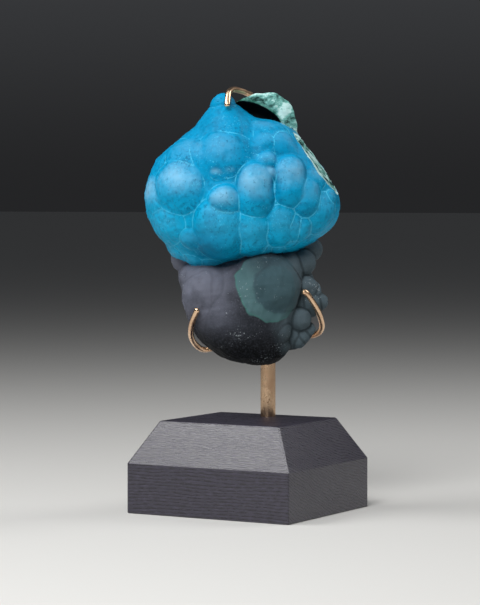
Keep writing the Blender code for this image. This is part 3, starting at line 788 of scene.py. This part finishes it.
def broken_malachite(tree, where):
    """Fibrous bands of mint and dark green, by depth from the skin, whitish next to the skin.

    The noise's third coordinate is the depth, and its other two are drawn out, so it runs in streaks.
    """
    depth = attribute(tree, "depth")
    place = add(tree, "SeparateXYZ", {0: where}).outputs
    bend = maths(tree, "MULTIPLY_ADD", noise(tree, where, 0.12, 2.0), 1.8, depth)
    streaked = {"X": maths(tree, "MULTIPLY", place["X"], STREAK_SHARE),
                "Y": maths(tree, "MULTIPLY", place["Z"], STREAK_SHARE),
                "Z": maths(tree, "MULTIPLY", bend, MM)}
    streaks = noise(tree, add(tree, "CombineXYZ", streaked).outputs[0], 1.5, 5.0, 0.62)
    wide = maths(tree, "SINE", maths(tree, "MULTIPLY", bend, 3.6))
    fine = maths(tree, "SINE", maths(tree, "MULTIPLY", bend, 9.1))
    band = maths(tree, "MULTIPLY_ADD", fine, 0.3, maths(tree, "MULTIPLY", wide, 0.5))
    band = maths(tree, "MULTIPLY_ADD", maths(tree, "SUBTRACT", streaks, 0.5), 13.0, band)
    colour = mixed(tree, ramp(tree, band, -1.5, 0.7), paint(*BAND_GREEN), paint(*MINT))
    pale = maths(tree, "MULTIPLY", ramp(tree, band, 0.2, 1.3), 0.9)
    colour = mixed(tree, pale, colour, paint(*MINT_PALE))
    colour = mixed(tree, ramp(tree, depth, 1.1, 0.5), colour, paint(*MINT_PALE))
    hollow = attribute(tree, "hollow")
    colour = mixed(tree, maths(tree, "MULTIPLY", ramp(tree, hollow, 0.5, 0.8), 0.6), colour, paint(*EMERALD))
    # Near black on the hollow's inside wall: the stone's dark there, and painted shade of the hollow.
    return mixed(tree, ramp(tree, hollow, 0.82, 0.95), colour, paint(*HOLLOW_DARK_AND_SHADE))


def stone():
    """The three surfaces of the specimen in one finish, parted by the mesh's own values."""
    made, tree, shader, where = new_material("malachite and chrysocolla")
    dark, broken = attribute(tree, "dark"), attribute(tree, "broken")
    colour = mixed(tree, dark, blue_skin(tree, where), dark_skin(tree, where))
    colour = mixed(tree, broken, colour, broken_malachite(tree, where))
    tree.links.new(colour, shader.inputs["Base Color"])
    grain = noise(tree, where, 1.2, 4.0)
    rough = maths(tree, "MULTIPLY_ADD", dark, 0.22, maths(tree, "MULTIPLY_ADD", grain, 0.16, 0.4))
    rough = maths(tree, "MULTIPLY_ADD", broken, 0.15, rough)
    shader.inputs["Specular IOR Level"].default_value = 0.09
    tree.links.new(rough, shader.inputs["Roughness"])
    pores = ramp(tree, noise(tree, where, 0.9, 3.0), 0.62, 0.7)
    height = maths(tree, "MULTIPLY_ADD", noise(tree, where, 3.0, 4.0), 0.5, grain)
    height = maths(tree, "MULTIPLY_ADD", pores, 0.9, height)
    bump = add(tree, "Bump", {"Height": height, "Strength": 0.5, "Distance": 0.2 * MM})
    tree.links.new(bump.outputs["Normal"], shader.inputs["Normal"])
    return made


specimen_piece(stone())

# Studio. A plain pale floor that the base stands on, soft light from above and both sides, and the
# camera at the photograph's angle: 30 degrees to the right of the base's front and just above it.
CAMERA_AZIMUTH, CAMERA_ELEVATION, CAMERA_DISTANCE = math.radians(29.9), math.radians(2.39), 1.034
CAMERA_LENS, CAMERA_SENSOR = 147.6, 36
AIM_ACROSS, AIM_UP = -3.66 * MM, 86.8 * MM
FLOOR_SIZE = 40.0
FLOOR_COLOUR = (206, 205, 202)
BACKDROP_LOW, BACKDROP_HIGH, BACKDROP_STRENGTH = (100, 101, 104), (152, 155, 160), 0.14
SOFT_LIGHTS = (
    ("key", 14, 42, 0.8, 0.35, 5.6), ("top", 20, 86, 0.7, 0.4, 0.5),
    ("left", -50, 50, 0.9, 0.45, 4.6), ("right", 135, 38, 0.9, 0.4, 2.5))


def studio_floor():
    """One large square, level with the base's underside."""
    half = FLOOR_SIZE / 2
    corners = np.array(((-half, -half, 0), (half, -half, 0), (half, half, 0), (-half, half, 0)))
    made, tree, shader, where = new_material("pale floor")
    shader.inputs["Base Color"].default_value = paint(*FLOOR_COLOUR)
    shader.inputs["Roughness"].default_value = 0.7
    floor = new_piece("floor", corners, [(0, 1, 2, 3)], made)


def soft_light(name, azimuth, elevation, distance, size, watts):
    """A square area light that looks at the object's middle, its angles in degrees."""
    light = bpy.data.lights.new(name, "AREA")
    light.size = size
    light.energy = watts
    lamp = bpy.data.objects.new(name, light)
    bpy.context.scene.collection.objects.link(lamp)
    angle, rise = math.radians(azimuth), math.radians(elevation)
    back = Vector((math.sin(angle) * math.cos(rise), -math.cos(angle) * math.cos(rise), math.sin(rise)))
    lamp.location = Vector((0, 0, 100 * MM)) + back * distance
    lamp.rotation_euler = (-back).to_track_quat("-Z", "Y").to_euler()


def photograph_camera():
    """A long lens that looks at a point beside the stand's middle, level with the dark mass."""
    camera = bpy.data.objects.new("camera", bpy.data.cameras.new("camera"))
    bpy.context.scene.collection.objects.link(camera)
    across = Vector((math.cos(CAMERA_AZIMUTH), math.sin(CAMERA_AZIMUTH), 0))
    back = Vector((math.sin(CAMERA_AZIMUTH) * math.cos(CAMERA_ELEVATION),
                   -math.cos(CAMERA_AZIMUTH) * math.cos(CAMERA_ELEVATION), math.sin(CAMERA_ELEVATION)))
    camera.location = across * AIM_ACROSS + Vector((0, 0, AIM_UP)) + back * CAMERA_DISTANCE
    camera.rotation_euler = (-back).to_track_quat("-Z", "Y").to_euler()
    camera.data.lens = CAMERA_LENS
    camera.data.sensor_width = CAMERA_SENSOR
    camera.data.clip_start = 0.05
    bpy.context.scene.camera = camera


def studio_backdrop():
    """A grey surround that darkens towards the horizon, where it meets the unlit far floor."""
    world = bpy.data.worlds.new("studio")
    world.use_nodes = True
    tree = world.node_tree
    background = tree.nodes["Background"]
    direction = add(tree, "TexCoord").outputs["Generated"]
    height = ramp(tree, add(tree, "SeparateXYZ", {0: direction}).outputs["Z"], 0.0, 0.12)
    colour = mixed(tree, height, paint(*BACKDROP_LOW), paint(*BACKDROP_HIGH))
    tree.links.new(colour, background.inputs["Color"])
    background.inputs["Strength"].default_value = BACKDROP_STRENGTH
    bpy.context.scene.world = world


studio_floor()
for light_row in SOFT_LIGHTS:
    soft_light(*light_row)
photograph_camera()
studio_backdrop()
bpy.context.scene.view_settings.view_transform = "Standard"
